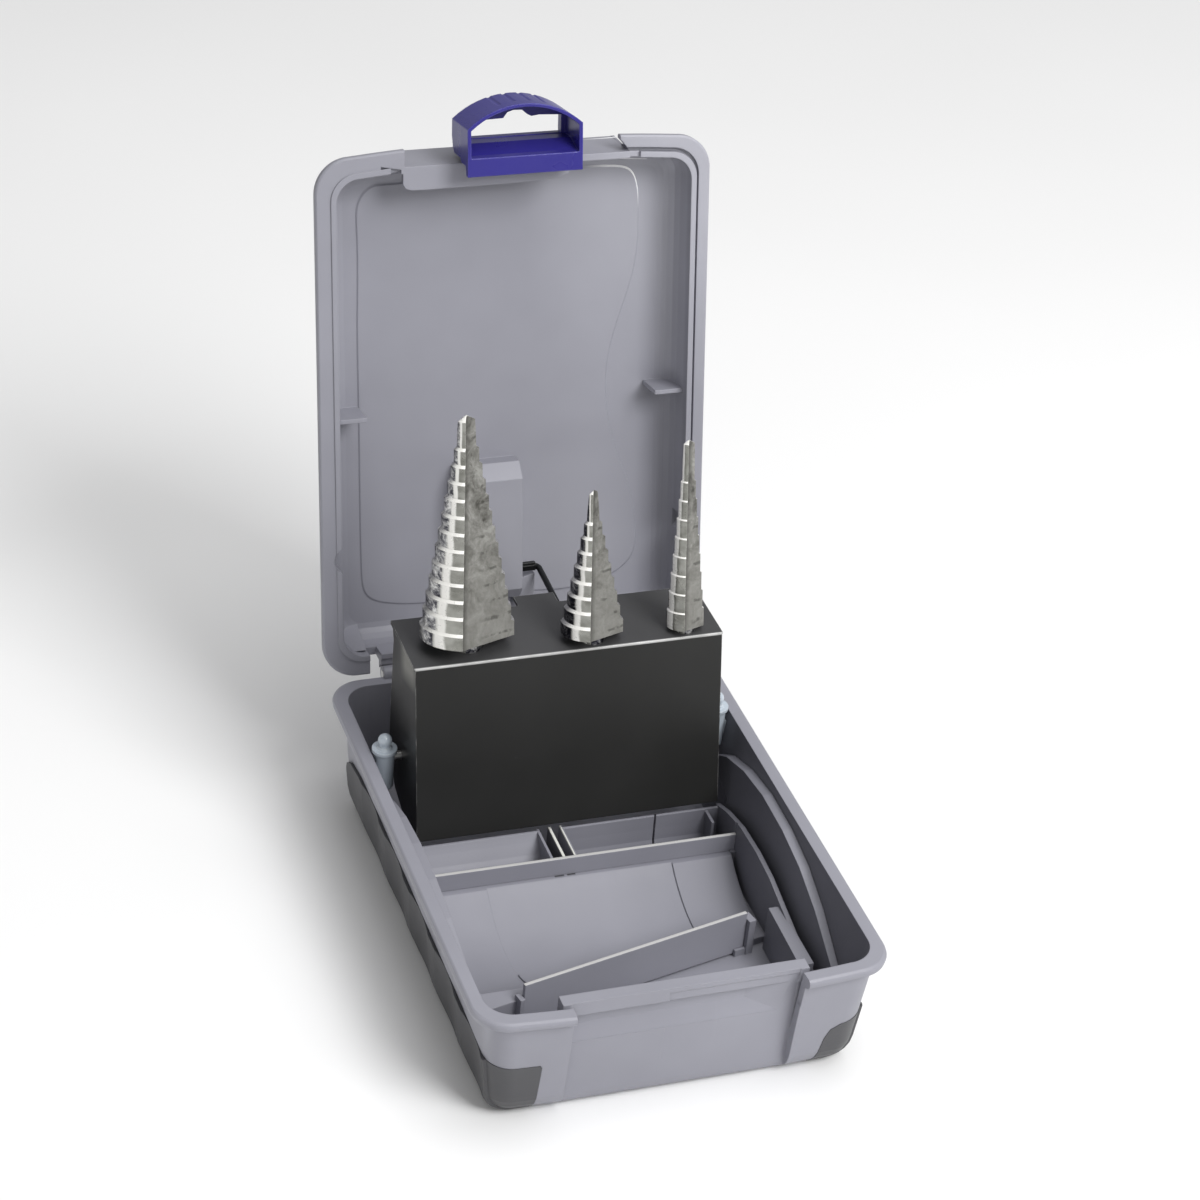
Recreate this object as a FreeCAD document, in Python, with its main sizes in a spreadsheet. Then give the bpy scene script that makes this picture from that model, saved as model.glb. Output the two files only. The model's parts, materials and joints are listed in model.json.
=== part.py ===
# Drill bit case with a hinged lid, a swing latch and a tilting drill rack.
# Frame: +X right, -Y front (latch side), +Z up, millimetres; the origin is the
# centre of the underside. The case is built lid open, rack raised.
import FreeCAD, Part
import math, os
from FreeCAD import Vector as V3, Placement, Rotation

doc = FreeCAD.newDocument("DrillBitCase")
sheet = doc.addObject("Spreadsheet::Sheet", "Dims")
_row = [0]


def dim(alias, value, note):
    _row[0] += 1
    n = _row[0]
    sheet.set("A%d" % n, note)
    sheet.set("B%d" % n, repr(float(value)))
    sheet.setAlias("B%d" % n, alias)


# ------------------------------------------------------------------ sizes
for a, v, n in (
    ("rim_half", 66.0, "half width over the rim flange"),
    ("rim_back", 88.5, "rim flange, back edge Y"),
    ("rim_front", 87.9, "rim flange, front corner distance"),
    ("wall_front", 89.7, "outer wall, front corner distance before its inset"),
    ("rim_bow", 2.4, "bow of the front edge at its middle"),
    ("rim_corner", 11.5, "rim corner radius"),
    ("base_high", 42.0, "height of the parting plane"),
    ("flange_thick", 3.4, "base flange height"),
    ("wall_inset", 3.6, "flange overhang past the wall"),
    ("draft_inset", 6.9, "inset of the outer wall at the bottom"),
    ("cavity_top", 4.7, "inset of the inner wall at the rim"),
    ("cavity_low", 9.3, "inset of the inner wall at the floor"),
    ("floor_thick", 2.4, "base floor thickness"),
    ("recess_half", 37.0, "half width of the front latch recess"),
    ("band_face", 82.5, "latch recess, face of the upper band"),
    ("panel_face", 82.0, "latch recess, face of the panel at its top"),
    ("panel_foot", 80.6, "latch recess, face of the panel at its foot"),
    ("catch_face", 79.6, "latch recess, deepest face of the catch below the band"),
    ("grip_sink", 0.9, "depth the grips are let into the wall"),
    ("recess_inner", 78.2, "inner face behind the latch recess"),
    ("lid_front", 86.3, "lid flange, front corner distance"),
    ("lid_bow", 2.3, "bow of the lid front edge"),
    ("lid_gap", 0.12, "gap between lid rim and base rim"),
    ("lid_high", 16.5, "lid height over the parting plane"),
    ("lid_inner", 14.6, "inside depth of the lid"),
    ("lid_recess_face", 82.2, "lid wall inside the latch zone"),
    ("lid_open", 103.2, "lid opening angle, degrees"),
    ("hinge_back", 89.0, "hinge axis Y"),
    ("hinge_up", 42.0, "hinge axis Z"),
    ("knuckle_rad", 3.0, "hinge knuckle radius"),
    ("hinge_pin_rad", 1.5, "hinge pin radius"),
    ("hinge_pin_long", 24.4, "hinge pin length"),
    ("run_clear", 0.05, "running clearance on a pin"),
    ("rack_back", 47.5, "rack pivot Y"),
    ("rack_up", 40.0, "rack pivot Z"),
    ("rack_half", 51.5, "half width of the rack"),
    ("rack_sheet", 1.2, "rack sheet thickness"),
    ("rack_front", 18.0, "rack front plate, distance ahead of the pivot"),
    ("rack_low", 23.0, "rack front plate below the pivot"),
    ("rack_top", 36.9, "rack front edge above the pivot"),
    ("rack_deep", 27.6, "depth of the rack top plate"),
    ("rack_tab", 33.0, "depth of the rack top plate at its rear tab"),
    ("shank_plate_up", 21.6, "inner shank plate above the pivot"),
    ("shank_plate_thick", 1.2, "inner shank plate thickness"),
    ("shank_plate_front", 16.7, "inner shank plate, front edge"),
    ("shank_plate_deep", 19.5, "inner shank plate depth"),
    ("shank_plate_wide", 100.4, "inner shank plate width"),
    ("pivot_pin_rad", 1.5, "rack pivot pin radius"),
    ("pivot_pin_long", 8.2, "rack pivot pin length"),
    ("bearing_out", 57.0, "bearing post X"),
    ("bearing_rad", 3.4, "bearing post radius"),
    ("bearing_low", 29.0, "bearing post foot Z"),
    ("bearing_long", 13.6, "bearing post height"),
    ("bearing_collar_rad", 4.1, "bearing collar radius"),
    ("bearing_collar_high", 1.2, "bearing collar thickness"),
    ("bearing_neck_rad", 1.9, "bearing neck radius"),
    ("bearing_neck_high", 2.0, "bearing neck height"),
    ("bearing_knob_rad", 2.3, "bearing knob radius"),
    ("link_up", 29.5, "link pivot above the hinge axis, along the lid"),
    ("link_in", 8.0, "link pivot behind the rim plane"),
    ("link_side", 10.6, "link run X"),
    ("link_rad", 1.0, "link rod radius"),
    ("latch_half", 19.0, "half width of the latch"),
    ("latch_lip", 168.8, "latch lip, distance from the hinge axis along the lid"),
    ("latch_top", 191.1, "top of the latch loop, distance from the hinge axis along the lid"),
    ("latch_pin_y", 86.1, "latch pin, distance ahead of centre with the lid shut"),
    ("latch_pin_z", 46.0, "latch pin height with the lid shut"),
    ("latch_pin_rad", 1.0, "latch pin radius"),
    ("latch_pin_long", 35.4, "latch pin length"),
    ("divider_thick", 1.2, "divider thickness"),
    ("divider_top", 20.0, "divider top Z"),
    ("divider_foot", 4.8, "divider lower edge Z"),
    ("divider_rear_y", 9.3, "rear divider Y"),
    ("divider_rear_long", 104.9, "rear divider length"),
    ("divider_diag_long", 81.4, "diagonal divider length"),
    ("divider_diag_turn", 12.6, "diagonal divider angle, degrees"),
    ("tray_floor_thick", 1.6, "tray floor thickness"),
):
    dim(a, v, n)

# one row per drill: head length, pitch, number of steps, first and last radius, shank
DRILLS = {
    "large": dict(x=-31.6, off=8.06, foot=42.7, pitch=5.24, steps=13, pilot=10.0, r0=3.0, dr=1.0, shank=5.0, slong=24.0, cut=0.30),
    "medium": dict(x=8.8, off=12.45, foot=40.5, pitch=4.7, steps=9, pilot=10.3, r0=2.0, dr=1.0, shank=4.0, slong=23.0, cut=0.24),
    "small": dict(x=40.2, off=13.6, foot=39.2, pitch=6.2, steps=9, pilot=13.3, r0=2.0, dr=0.5, shank=3.0, slong=22.0, cut=0.18),
}
for key, d in DRILLS.items():
    dim(key + "_x", d["x"], key + " drill X")
    dim(key + "_foot", d["foot"], key + " drill, head foot above the rack pivot")
    dim(key + "_pitch", d["pitch"], key + " drill, step pitch")
    dim(key + "_pilot", d["pilot"], key + " drill, pilot length")
    dim(key + "_tip_rad", d["r0"], key + " drill, pilot radius")
    dim(key + "_step_rise", d["dr"], key + " drill, radius rise per step")
    dim(key + "_shank_rad", d["shank"], key + " drill, shank radius")
    dim(key + "_shank_long", d["slong"], key + " drill, shank length")
    dim(key + "_cut", d["cut"], key + " drill, extra depth of the flute flat")
    dim(key + "_off", d["off"], key + " drill axis, distance ahead of the rack pivot")
    dim(key + "_bore", d["shank"] + 0.06, key + " shank hole radius")
doc.recompute()


def g(alias):
    return float(sheet.get(alias))


# ------------------------------------------------------------------ frames
HINGE = V3(0, g("hinge_back"), g("hinge_up"))
RACK = V3(0, g("rack_back"), g("rack_up"))
OPEN = g("lid_open")
LEAN = OPEN - 90.0
TURN = Rotation(V3(-1, 0, 0), OPEN)
LID = Placement(HINGE, TURN).multiply(Placement(-HINGE, Rotation()))
RACK_PL = Placement(RACK, Rotation(V3(1, 0, 0), -LEAN))
T13 = math.tan(math.radians(LEAN))
C13 = math.cos(math.radians(LEAN))
S13 = math.sin(math.radians(LEAN))


# ------------------------------------------------------------------ helpers
def outline(inset, z, front, bow, corner=None):
    hw = g("rim_half") - inset
    yb = g("rim_back") - inset
    yf = -(front - inset)
    rc = max(3.5, g("rim_corner") - 0.55 * inset) if corner is None else corner
    k = rc * (1 - math.sqrt(0.5))
    p = [V3(-hw + rc, yf, z), V3(0, yf - bow, z), V3(hw - rc, yf, z), V3(hw - k, yf + k, z), V3(hw, yf + rc, z),
         V3(hw, yb - rc, z), V3(hw - k, yb - k, z), V3(hw - rc, yb, z),
         V3(-hw + rc, yb, z), V3(-hw + k, yb - k, z), V3(-hw, yb - rc, z),
         V3(-hw, yf + rc, z), V3(-hw + k, yf + k, z)]
    e = [Part.Arc(p[0], p[1], p[2]).toShape(), Part.Arc(p[2], p[3], p[4]).toShape(), Part.makeLine(p[4], p[5]),
         Part.Arc(p[5], p[6], p[7]).toShape(), Part.makeLine(p[7], p[8]), Part.Arc(p[8], p[9], p[10]).toShape(),
         Part.makeLine(p[10], p[11]), Part.Arc(p[11], p[12], p[0]).toShape()]
    return Part.Wire(e)


def stack(levels, front, bow):
    # levels: (z, inset) from low to high
    return Part.makeLoft([outline(i, z, front, bow) for z, i in levels], True, True)


def ring(z0, z1, i0, i1, front, bow):
    return stack([(z0, i0), (z1, i0)], front, bow).cut(stack([(z0 - 1, i1), (z1 + 1, i1)], front, bow))


def cube(x0, x1, y0, y1, z0, z1):
    return Part.makeBox(x1 - x0, y1 - y0, z1 - z0, V3(x0, y0, z0))


def rod(x0, x1, y, z, r):
    return Part.makeCylinder(r, x1 - x0, V3(x0, y, z), V3(1, 0, 0))


def prism_x(pts, x0, x1):
    # polygon of (y, z) pushed along X
    w = Part.makePolygon([V3(x0, a, b) for a, b in pts] + [V3(x0, pts[0][0], pts[0][1])])
    return Part.Face(w).extrude(V3(x1 - x0, 0, 0))


def prism_y(pts, y0, y1):
    w = Part.makePolygon([V3(a, y0, b) for a, b in pts] + [V3(pts[0][0], y0, pts[0][1])])
    return Part.Face(w).extrude(V3(0, y1 - y0, 0))


def prism_z(pts, z0, z1):
    w = Part.makePolygon([V3(a, b, z0) for a, b in pts] + [V3(pts[0][0], pts[0][1], z0)])
    return Part.Face(w).extrude(V3(0, 0, z1 - z0))


def one(shape):
    s = shape.removeSplitter()
    return s.Solids[0] if len(s.Solids) == 1 else s


NODES = []


def feature(label, shape, placement=None):
    o = doc.addObject("Part::Feature", label)
    o.Label = label
    o.Shape = one(shape)
    if placement is not None:
        o.Placement = placement
    NODES.append(o)
    return o


def prim(kind, name, bind, placement):
    o = doc.addObject(kind, name)
    o.Placement = placement
    for prop, expr in bind.items():
        o.setExpression(prop, expr)
    return o


ROT_X = Rotation(V3(0, 1, 0), 90)      # cylinder axis Z turned onto +X


def cyl_x(name, rad, length, x, y, z):
    return prim("Part::Cylinder", name, {"Radius": rad, "Height": length}, Placement(V3(x, y, z), ROT_X))


# ------------------------------------------------------------------ base shell
F, BOW = g("rim_front"), g("rim_bow")
H = g("base_high")
WI, DI = g("wall_inset"), g("draft_inset")
WF = g("wall_front")
OUTER = [(0.0, DI + 6.0), (1.0, DI + 4.1), (2.5, DI + 2.3), (4.5, DI + 0.95), (7.0, DI + 0.05), (9.0, DI - 0.25), (H - 1.0, WI)]
FLANGE = [(H - g("flange_thick") - 0.9, 2.6), (H - g("flange_thick"), 1.0), (H - g("flange_thick") + 0.8, 0.2),
          (H - 1.3, 0.0), (H - 0.5, 0.3), (H, 1.0)]
CAV = [(g("floor_thick"), g("cavity_low") + 3.2), (g("floor_thick") + 1.4, g("cavity_low") + 1.0),
       (g("floor_thick") + 3.4, g("cavity_low")), (H + 0.01, g("cavity_top"))]
body = stack(OUTER, WF, BOW * 0.6).fuse(stack(FLANGE, F, BOW))
body = body.cut(stack(CAV, F, BOW))
RH = g("recess_half")
# wall behind the latch recess
bf, pf, pb = -g("band_face"), -g("panel_face"), -g("panel_foot")
ri = -g("recess_inner")
body = body.fuse(prism_x([(ri, 0.9), (pb + 1.2, 0.9), (pb + 0.3, 2.0), (pb, 4.0), (pf, 36.4), (bf - 0.2, 37.2), (bf - 0.2, H), (ri, H)], -RH - 2.0, RH + 2.0))
body = body.cut(prism_z([(-RH, -96), (RH, -96), (RH - 0.8, bf), (-RH + 0.8, bf)], 30, H + 2))
panel = [(-96, -2), (pb + 3.2, -2), (pb + 3.2, 0.0), (pb + 1.2, 0.8), (pb + 0.3, 2.0), (pb, 4.0)]
body = body.cut(prism_x(panel + [(pf, 36.4), (bf - 0.1, 37.2), (-96, 37.2)], -RH + 0.8, -5.3))
body = body.cut(prism_x(panel + [(pf, 39.8), (bf - 0.1, 40.6), (-96, 40.6)], -5.3, RH - 0.8))
# catch recess below the band that takes the lip of the latch, running out to the right
cr = -g("catch_face")
plan = prism_z([(-RH + 0.9, -96), (-RH + 0.9, cr), (20.2, cr), (35.4, pf - 0.2), (35.4, -96)], 26.0, 40.0)
body = body.cut(plan.common(prism_x([(-96, 25.4), (pf + 0.42, 25.4), (cr - 0.7, 29.6), (cr, 31.8), (cr, 36.2), (bf - 0.1, 37.2), (-96, 37.2)], -RH, 36.0)))
# hinge knuckles of the base, and room for the knuckles of the lid
KR = g("knuckle_rad")
for s in (-1, 1):
    for a, b in ((22.0, 28.0), (40.0, 46.0)):
        x0, x1 = sorted((s * a, s * b))
        kn = rod(x0, x1, HINGE.y, HINGE.z, KR)
        web = prism_x([(HINGE.y - 4.5, H - 6.5), (HINGE.y + 1.2, H - 2.6), (HINGE.y + 2.6, H - 0.6), (HINGE.y - 0.5, H - 0.2),
                       (HINGE.y - 4.5, H - 0.2)], x0, x1)
        body = body.fuse(kn).fuse(web)
    x0, x1 = sorted((s * 28.0, s * 40.0))
    body = body.cut(rod(x0, x1, HINGE.y, HINGE.z, KR + 0.35))
    x0, x1 = sorted((s * 21.0, s * 47.0))
    body = body.cut(rod(x0, x1, HINGE.y, HINGE.z, g("hinge_pin_rad")))
# ------------------------------------------------------------------ soft grip panels let into the wall
base_plain = body
GS, GP = g("grip_sink"), 1.2
SKIN = [(0.0, DI + 5.2), (0.7, DI + 3.4), (1.8, DI + 1.8), (3.2, DI + 0.6), (5.2, DI - 0.4), (8.0, DI - 1.0), (H - 1.0, WI - GP)]
deep = stack([(z, i + GS) for z, i in OUTER], WF, BOW * 0.6)
proud = stack(SKIN, WF, BOW * 0.6)
near = stack([(z, i - 0.15) for z, i in OUTER], WF, BOW * 0.6)
side_top = [(76.0, -1), (77.0, 6), (76.6, 14), (74.0, 19.0), (69.0, 22.4), (58.0, 24.6), (34, 25.0), (10, 24.6), (-14, 24.2), (-34, 24.0), (-50, 23.8), (-64, 23.2), (-76, 22.4),
            (-82, 21.8), (-88, 21.0), (-96, 20.4)]
SC = 60.0


def scallops(shape, sgn):
    for i in range(6):
        yc = 44.0 - 28.0 * i
        shape = shape.cut(Part.makeCylinder(SC, 70, V3(sgn * (57.65 + SC), yc, -5), V3(sgn * 0.1275, 0, 1)))
    return shape


front_l = prism_y([(-70, -1), (-45.0, -1), (-44.4, 20.5), (-45.6, 22.4), (-48.0, 23.0), (-70, 23.0)], -100, -74)
front_r = prism_y([(70, -1), (44.6, -1), (47.0, 13.0), (48.6, 16.6), (52.0, 18.4), (70, 21.0)], -100, -74)
for name, sgn, front_zone in (("grip_left", -1, front_l), ("grip_right", 1, front_r)):
    x0, x1 = sorted((sgn * 44.4, sgn * 72.0))
    zone = prism_x([(-96, -1)] + side_top, x0, x1)
    zone = zone.cut(cube(x0 - 1, x1 + 1, -100, -74.0, -2, 60)).fuse(front_zone.common(zone))
    pocket = zone.cut(deep)
    body = body.cut(pocket)
    skin = zone.cut(deep).common(proud)
    side = scallops(skin.common(cube(x0, x1, -79.0, 90, -1, 60)), sgn).common(proud)
    frontal = skin.common(cube(x0 - 1, x1 + 1, -100, -78.9, -1, 60)).common(near)
    grip = side.fuse(frontal).cut(body)
    feature(name, grip)
base_node = feature("base_shell", body)

# ------------------------------------------------------------------ lid (drawn shut, then swung open)
LF, LB = g("lid_front"), g("lid_bow")
Z0 = H + g("lid_gap")
ZT = H + g("lid_high")
ZI = H + g("lid_inner")
lid = stack([(Z0, 0.5), (Z0 + 0.5, 0.0), (Z0 + 2.2, 0.0), (Z0 + 2.9, 0.6), (Z0 + 3.0, WI), (Z0 + 8.0, 4.5), (Z0 + 11.0, 5.4), (Z0 + 13.4, 7.0),
             (Z0 + 15.2, 9.2), (Z0 + 16.1, 11.4), (ZT, 13.6)], LF, LB)
lid = lid.cut(stack([(Z0 - 1, 6.8), (Z0 + 8.0, 7.0), (Z0 + 11.0, 7.9), (Z0 + 13.0, 9.3), (Z0 + 14.1, 10.8), (ZI, 12.6)], LF, LB))
# tongue inside the rim and the groove that sets it off, deep along the right side
half = cube(33.0, 80, -100, 100, 30, 70)
tongue = ring(H - 1.1, Z0 + 1.0, 5.0, 6.8, LF, LB)
lid = lid.fuse(tongue.common(half)).fuse(ring(H - 0.3, Z0 + 1.0, 5.0, 6.8, LF, LB).cut(half))
lid = lid.cut(ring(Z0 - 1, Z0 + 1.5, 3.9, 5.0, LF, LB).common(half))
# latch zone: square-backed wall set back from the rim, with a slight draft
lr = -g("lid_recess_face")
lb = lr - 1.5
lid = lid.fuse(prism_x([(lr, Z0), (lr + 2.2, Z0), (lr + 2.6, ZI), (lr + 6.0, ZI + 0.8), (lr + 6.0, ZT - 0.4), (lb, ZT - 0.4)], -38.4, 38.4))
zone = prism_x([(-100, H - 3), (lr, H - 3), (lr, Z0), (lb - 0.1, ZT + 2), (-100, ZT + 2)], -40, 40)
lid = lid.cut(zone.common(prism_z([(-36.8, -100), (35.0, -100), (35.0, -86.3), (38.0, lr - 0.6), (38.0, -70), (-36.8, -70)], H - 4, ZT + 3)))
lid = lid.cut(cube(-41.5, 41.5, -85, -76, H - 3, Z0))
# ledge behind the latch, rounded at its free corner
lid = lid.fuse(prism_z([(-37.4, lr + 0.4), (-37.4, -76.6), (-36.6, -75.2), (-34.6, -74.5), (-30.0, -74.4), (4.0, -74.6), (15.0, -75.4), (17.6, -76.6), (18.6, lr + 0.4)], Z0, Z0 + 1.7))
lid = lid.cut(prism_z([(-44.6, -82.7), (-38.0, -81.4), (-38.0, -79.2), (-44.6, -80.2)], Z0 - 0.1, Z0 + 1.6))
PY, PZ, PR = -g("latch_pin_y"), g("latch_pin_z"), g("latch_pin_rad")
for s in (-1, 1):
    x0, x1 = sorted((s * 11.2, s * 14.0))
    ear = rod(x0, x1, PY, PZ, 1.85).fuse(cube(x0, x1, PY, lr + 0.5, PZ - 1.85, PZ + 1.85))
    lid = lid.fuse(ear)
lid = lid.cut(rod(-24, 24, PY, PZ, PR))
# embossed field of the panel, waisted on its right side
pts = [(-42.5, 163.0), (-20.0, 163.4), (20.0, 164.0), (38.0, 163.8), (44.0, 162.0), (46.4, 157.0), (47.0, 150.0), (47.0, 138.0), (45.2, 126.0), (41.0, 113.0),
       (37.6, 101.0), (36.4, 90.0), (37.6, 77.0), (41.4, 63.0), (45.8, 51.0), (47.6, 40.0), (46.6, 26.0), (38.0, 19.5), (0.0, 18.0),
       (-40.0, 18.6), (-47.4, 22.0), (-49.4, 31.0), (-49.6, 60.0), (-49.6, 90.0), (-49.6, 120.0), (-49.4, 149.0), (-47.8, 159.6)]


def field(scale, z):
    c = Part.BSplineCurve()
    q = [V3(x * scale, HINGE.y - 90.0 - (u - 90.0) * scale, z) for x, u in pts]
    c.interpolate(q, PeriodicFlag=True)
    return Part.Wire(c.toShape())


pad = Part.makeLoft([field(1.0, ZI + 0.3), field(0.986, ZI - 0.42)], True, True)
lid = lid.fuse(pad)
# shelves on both side walls
for s in (-1, 1):
    pl = [(s * 49.4, Z0 + 14.8), (s * 49.4, Z0 + 2.6), (s * 51.0, Z0 + 2.3), (s * 60.4, Z0 + 2.3), (s * 60.4, Z0 + 8.0), (s * 56.6, Z0 + 14.8)]
    lid = lid.fuse(prism_y(pl, 0.0, 1.5))
# moulded block that carries the lifting link
blk = prism_x([(70.0, ZI + 0.2), (70.0, H + 8.0), (66.0, H + 4.8), (27.0, H + 4.8), (22.0, H + 8.8), (22.0, ZI + 0.2)], -17.0, 4.2)
blk = blk.fuse(prism_x([(71.0, ZI + 0.2), (71.0, H + 11.0), (78.5, ZI + 0.2)], -8.0, -6.4)).fuse(
    prism_x([(69.5, ZI + 0.2), (69.5, H + 11.0), (78.5, ZI + 0.2)], 0.6, 2.2))
blk = blk.fuse(prism_x([(71.0, ZI + 0.2), (71.0, H + 7.6), (62.0, H + 7.6), (62.0, ZI + 0.2)], 4.0, 9.3).cut(
    prism_z([(4.0, 61.9), (4.0, 63.4), (9.4, 61.9)], H, ZI + 0.1)))
lid = lid.fuse(blk)
LU, LW, LX, LR = g("link_up"), g("link_in"), g("link_side"), g("link_rad")
lid = lid.cut(rod(-6.0, 6.0, HINGE.y - LU, HINGE.z + LW, LR + g("run_clear")))
# room for the bearing knobs when shut
for s in (-1, 1):
    lid = lid.cut(Part.makeCylinder(4.7, 6.0, V3(s * g("bearing_out"), g("rack_back"), H - 3.0), V3(0, 0, 1)))
    lid = lid.cut(Part.makeCylinder(3.6, 6.1, V3(s * g("bearing_out"), g("rack_back"), H + 2.9), V3(0, 0, 1)))
# seats beside the hinge and see-through slots outside the knuckles
for s in (-1, 1):
    x0, x1 = sorted((s * 50.6, s * 57.0))
    lid = lid.fuse(prism_x([(81.0, Z0 + 3.0), (78.5, Z0 + 9.0), (76.0, ZI + 0.2), (84.0, ZI - 4.0)], x0, x1))
    x0, x1 = sorted((s * 46.4, s * 50.2))
    lid = lid.cut(cube(x0, x1, 80.0, 92.0, H - 3.0, Z0 + 6.5))
    for a, b in ((21.6, 28.4), (39.6, 46.5)):
        x0, x1 = sorted((s * a, s * b))
        lid = lid.cut(rod(x0, x1, HINGE.y, HINGE.z, KR + 0.35))
    x0, x1 = sorted((s * 28.4, s * 39.6))
    lid = lid.fuse(rod(x0, x1, HINGE.y, HINGE.z, KR).cut(cube(x0 - 1, x1 + 1, 80, HINGE.y - 0.2, 30, H - 0.6)))
    lid = lid.fuse(prism_x([(HINGE.y - 3.2, H + 0.3), (HINGE.y + 2.2, H + 0.6), (HINGE.y + 1.4, H + 2.6), (HINGE.y - 3.2, H + 6.5)], x0, x1))
    lid = lid.cut(rod(x0 - 0.1, x1 + 0.1, HINGE.y, HINGE.z, g("hinge_pin_rad") + g("run_clear")))
feature("lid_shell", lid, LID)

# ------------------------------------------------------------------ hinge pins
for side, x in (("left", -46.2), ("right", 21.8)):
    p = cyl_x("hinge_pin_" + side, "Dims.hinge_pin_rad", "Dims.hinge_pin_long", x, HINGE.y, HINGE.z)
    p.Label = "hinge_pin_" + side
    NODES.append(p)

# ------------------------------------------------------------------ latch
def lp(u, w):
    return (HINGE.y - u, HINGE.z + w)


def arch(half, side_u, apex_u, foot_u, n=18):
    """Outline with a round top, in (x, Y) of the shut lid."""
    sag = apex_u - side_u
    rr = (half * half + sag * sag) / (2 * sag)
    out = [(-half, HINGE.y - foot_u)]
    for i in range(n + 1):
        x = -half + 2 * half * i / n
        u = apex_u - rr + math.sqrt(max(rr * rr - x * x, 0.0))
        out.append((x, HINGE.y - u))
    out.append((half, HINGE.y - foot_u))
    return out


LH, LIP = g("latch_half"), g("latch_lip")
# side view: lip at the front lower corner, body clear of the band, hub round the pin
side = [lp(LIP, -9.2), lp(LIP + 0.1, -7.5), lp(172.0, -6.7), lp(172.0, -2.2), lp(173.3, -1.0), lp(173.4, 5.4), lp(174.9, 7.0), lp(178.6, 8.0),
        lp(193.0, 7.2), lp(193.0, -8.7), lp(177.6, -9.2)]
latch = prism_x(side, -LH, LH).common(prism_z(arch(LH, 183.9, g("latch_top"), 160.0), 20, 70))
front_open = prism_z(arch(LH - 1.15, 183.4, g("latch_top") - 1.05, 165.0), HINGE.z - 12, HINGE.z + 4.8)
floor = prism_x([lp(160.0, -12), lp(174.6, -9.4), lp(175.0, -6.8), lp(177.4, -0.4), lp(177.7, 8.4), lp(160.0, 12)], -LH, LH)
latch = latch.cut(front_open.cut(floor))
# opening in the back web with a relief for the finger
web = [(-16.8, 177.8), (-16.6, 183.2), (-3.0, 183.6), (-1.6, 185.4), (0.4, 186.0), (3.4, 185.9), (5.0, 184.4), (6.4, 183.7), (9.0, 184.0), (16.4, 183.6), (16.4, 177.8)]
latch = latch.cut(prism_z([(x, HINGE.y - u) for x, u in web], HINGE.z + 3.0, HINGE.z + 12))
# shallow finger ridges over the bow
for x, u in ((-7.4, 190.2), (-2.4, 191.0), (2.8, 191.0), (7.8, 190.1)):
    latch = latch.cut(Part.makeCylinder(1.1, 12, V3(x, HINGE.y - u - 0.75, HINGE.z - 4.5), V3(0, 0, 1)))
for s in (-1, 1):
    x0, x1 = sorted((s * 10.9, s * 14.3))
    latch = latch.cut(cube(x0, x1, PY - 2.1, PY + 12.0, PZ - 2.3, PZ + 12.0))
latch = latch.cut(rod(-17.9, 17.9, PY, PZ, PR + g("run_clear")))
feature("latch_handle", latch, LID)

lpin = cyl_x("latch_pin", "Dims.latch_pin_rad", "Dims.latch_pin_long", 0, 0, 0)
lpin.Placement = LID.multiply(Placement(V3(-g("latch_pin_long") / 2, PY, PZ), ROT_X))
lpin.Label = "latch_pin"
NODES.append(lpin)

# ------------------------------------------------------------------ drill rack (bent sheet), drawn in its own upright frame
ts = g("rack_sheet")
RW, FR, RL, RT = g("rack_half"), g("rack_front"), g("rack_low"), g("rack_top")


def topz(w):
    return RT + (w + FR) * T13


def along(t, off=0.0):
    return (-FR + t * C13 + off * S13, RT + t * S13 - off * C13)


front = prism_x([(-FR, -RL), (-FR, RT), (-FR + ts, RT - ts * 0.77), (-FR + ts, -RL)], -RW, RW)
hem = prism_x([(-FR, -RL), (-FR + 6.5, -RL + 1.0), (-FR + 6.5, -RL + 1.0 + ts), (-FR, -RL + ts + 0.6)], -RW + 1.5, RW - 1.5)
top = prism_x([along(0), along(g("rack_deep")), along(g("rack_deep"), ts), along(0.6, ts)], -RW - 0.3, RW + 0.3)
tab = prism_x([along(20), along(g("rack_tab")), along(g("rack_tab"), ts), along(20, ts)], -9.0, 4.6)
rack = front.fuse(top).fuse(hem).fuse(tab)
for s in (-1, 1):
    x0, x1 = sorted((s * (RW - ts), s * RW))
    cheek = prism_x([(-FR + 0.6, -RL + 0.4), (-5.0, -RL + 1.5), (7.0, -14.5), (13.4, -1.0), along(g("rack_deep") - 3.4, 5.0), along(g("rack_deep") - 1.2, 0.3),
                     along(0.6, 0.3)], x0, x1)
    rack = rack.fuse(cheek)
    rack = rack.cut(rod(x0 - 1, x1 + 1, 0, 0, g("pivot_pin_rad") + g("run_clear")))
# lug that takes the lower end of the lifting link
lug = prism_x([along(24.0, 0.2), along(31.6, 0.2), (LW + 3.0, LU + 1.0), (LW + 3.0, LU - 1.0), (LW + 1.8, LU - 3.0), (LW - 1.8, LU - 3.0),
               (LW - 3.0, LU - 1.0)], 1.2, 4.2)
rack = rack.fuse(lug)
rack = rack.cut(rod(-1, 6, LW, LU, LR + g("run_clear")))
for key in DRILLS:
    rack = rack.cut(Part.makeCylinder(g(key + "_bore"), 50, V3(g(key + "_x"), -g(key + "_off"), 20), V3(0, 0, 1)))
feature("drill_rack", rack, RACK_PL)

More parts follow.
